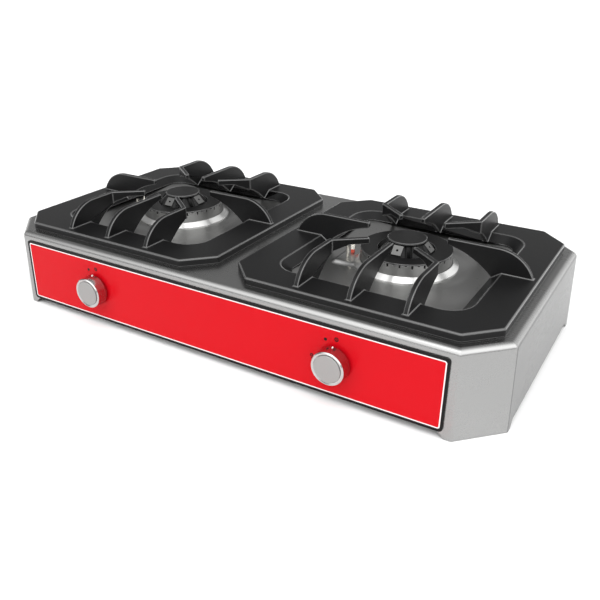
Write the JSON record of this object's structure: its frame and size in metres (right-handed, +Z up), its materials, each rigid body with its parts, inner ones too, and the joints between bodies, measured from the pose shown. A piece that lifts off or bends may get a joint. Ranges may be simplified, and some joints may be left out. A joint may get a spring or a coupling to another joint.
{
  "type": "camping stove",
  "caption": "Table-top gas camping stove: octagonal stainless casing, glass front panel, press-and-turn knobs, cast burners and finned pan supports.",
  "frame": {"origin": "under the middle of the stove, on the surface that it stands on", "axes": "+Z up, +X to the right of someone facing the knobs, -Y towards that person"},
  "size_m": [0.719, 0.4017, 0.145],
  "materials": {
    "stainless": "fine brushed",
    "galvanised": "matt zinc coated sheet",
    "zinc_fasteners": "zinc plated",
    "rubber": "matt",
    "red_glass": "glossy, red enamel behind the glass",
    "black_trim": "satin",
    "pipe_steel": "drawn tube",
    "brass": "machined",
    "spring_steel": "bright",
    "cast_pot": "as cast",
    "flame_metal": "satin turned",
    "polished_ring": "polished",
    "black_enamel": "satin black enamel",
    "knob_metal": "satin chrome",
    "knob_disc": "turned, satin",
    "ceramic": "glazed ceramic",
    "probe_steel": "satin",
    "igniter_plastic": "matt",
    "lead_rubber": "silicone sleeve",
    "copper": "drawn copper"
  },
  "bodies": {
    "root": {"body_shell": "stainless", "top_deck": "stainless", "burner_well_left": "stainless", "burner_well_right": "stainless", "burner_bracket_left": "galvanised", "burner_bracket_right": "galvanised", "probe_clip_left": "galvanised", "probe_clip_right": "galvanised", "valve_cover_left": "galvanised", "valve_cover_right": "galvanised", "deck_nuts": "zinc_fasteners", "bracket_screws": "zinc_fasteners", "valve_screws": "zinc_fasteners", "foot_pads": "rubber", "front_panel": "red_glass", "panel_trim": "black_trim", "gas_rail": "pipe_steel", "supply_pipe": "pipe_steel", "rail_elbow": "pipe_steel", "gas_inlet": "brass", "inlet_nut": "brass", "valve_body_left": "brass", "valve_body_right": "brass", "gas_jet_left": "brass", "gas_jet_right": "brass", "valve_spring_left": "spring_steel", "valve_spring_right": "spring_steel", "burner_body_left": "cast_pot", "burner_body_right": "cast_pot", "collar_ring_left": "polished_ring", "collar_ring_right": "polished_ring", "spark_electrode_left": "ceramic", "spark_electrode_right": "ceramic", "flame_probe_left": "probe_steel", "flame_probe_right": "probe_steel", "piezo_igniter_left": "igniter_plastic", "piezo_igniter_right": "igniter_plastic", "ignition_lead_left": "lead_rubber", "ignition_lead_right": "lead_rubber", "probe_tube_left": "copper", "probe_tube_right": "copper"},
    "plunger_left": {"valve_plunger_left": "brass"},
    "knob_left": {"knob_left": "knob_metal", "knob_face_left": "knob_disc", "valve_spindle_left": "spring_steel"},
    "burner_cap_left": {"burner_cap_left": "black_enamel", "flame_ring_left": "flame_metal"},
    "inner_burner_left": {"inner_burner_left": "black_enamel", "inner_cap_left": "black_enamel"},
    "pan_support_left": {"pan_support_left": "black_enamel"},
    "plunger_right": {"valve_plunger_right": "brass"},
    "knob_right": {"knob_right": "knob_metal", "knob_face_right": "knob_disc", "valve_spindle_right": "spring_steel"},
    "burner_cap_right": {"burner_cap_right": "black_enamel", "flame_ring_right": "flame_metal"},
    "inner_burner_right": {"inner_burner_right": "black_enamel", "inner_cap_right": "black_enamel"},
    "pan_support_right": {"pan_support_right": "black_enamel"}
  },
  "joints": [
    {"name": "knob_push_left", "type": "slide", "parent": "root", "child": "plunger_left", "axis": [0, 1, 0], "range_m": [0, 0.0025], "stiffness_N_per_m": 600, "springref_m": -0.003, "deforming": ["valve_spring_left"]},
    {"name": "knob_turn_left", "type": "hinge", "parent": "plunger_left", "child": "knob_left", "pos_m": [-0.1776, -0.2018, 0.0527], "axis": [0, -1, 0], "range_deg": [0, 90]},
    {"name": "cap_lift_left", "type": "slide", "parent": "root", "child": "burner_cap_left", "axis": [0, 0, 1], "range_m": [0, 0.01]},
    {"name": "inner_burner_lift_left", "type": "slide", "parent": "root", "child": "inner_burner_left", "axis": [0, 0, 1], "range_m": [0, 0.03]},
    {"name": "support_lift_left", "type": "slide", "parent": "root", "child": "pan_support_left", "axis": [0, 0, 1], "range_m": [0, 0.05]},
    {"name": "knob_push_right", "type": "slide", "parent": "root", "child": "plunger_right", "axis": [0, 1, 0], "range_m": [0, 0.0025], "stiffness_N_per_m": 600, "springref_m": -0.003, "deforming": ["valve_spring_right"]},
    {"name": "knob_turn_right", "type": "hinge", "parent": "plunger_right", "child": "knob_right", "pos_m": [0.1776, -0.2018, 0.0527], "axis": [0, -1, 0], "range_deg": [0, 90]},
    {"name": "cap_lift_right", "type": "slide", "parent": "root", "child": "burner_cap_right", "axis": [0, 0, 1], "range_m": [0, 0.01]},
    {"name": "inner_burner_lift_right", "type": "slide", "parent": "root", "child": "inner_burner_right", "axis": [0, 0, 1], "range_m": [0, 0.03]},
    {"name": "support_lift_right", "type": "slide", "parent": "root", "child": "pan_support_right", "axis": [0, 0, 1], "range_m": [0, 0.05]}
  ]
}
